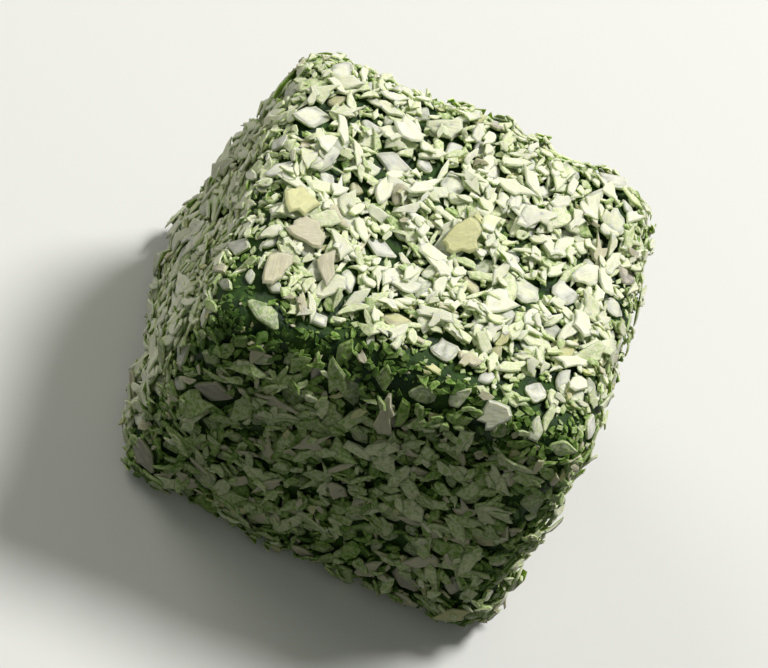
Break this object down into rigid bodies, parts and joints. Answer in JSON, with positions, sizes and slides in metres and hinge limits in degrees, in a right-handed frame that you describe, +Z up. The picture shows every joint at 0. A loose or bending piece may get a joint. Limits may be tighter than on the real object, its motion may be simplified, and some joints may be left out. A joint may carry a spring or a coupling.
{
  "type": "mint turkish delight",
  "caption": "Soft, slightly squashed block of mint jelly sweet, rolled in desiccated coconut flakes. It rests on its flat base.",
  "frame": {"origin": "middle of the flat base that the sweet rests on", "axes": "+Z up from the base, X along the block's longest side, -Y towards the front face"},
  "size_m": [0.0334, 0.0302, 0.0268],
  "materials": {
    "coconut": "dry, uneven flakes, cream to pale green",
    "mint_jelly": "soft, moist, slightly see-through"
  },
  "bodies": {
    "root": {"mint_turkish_delight": "coconut"}
  },
  "joints": []
}
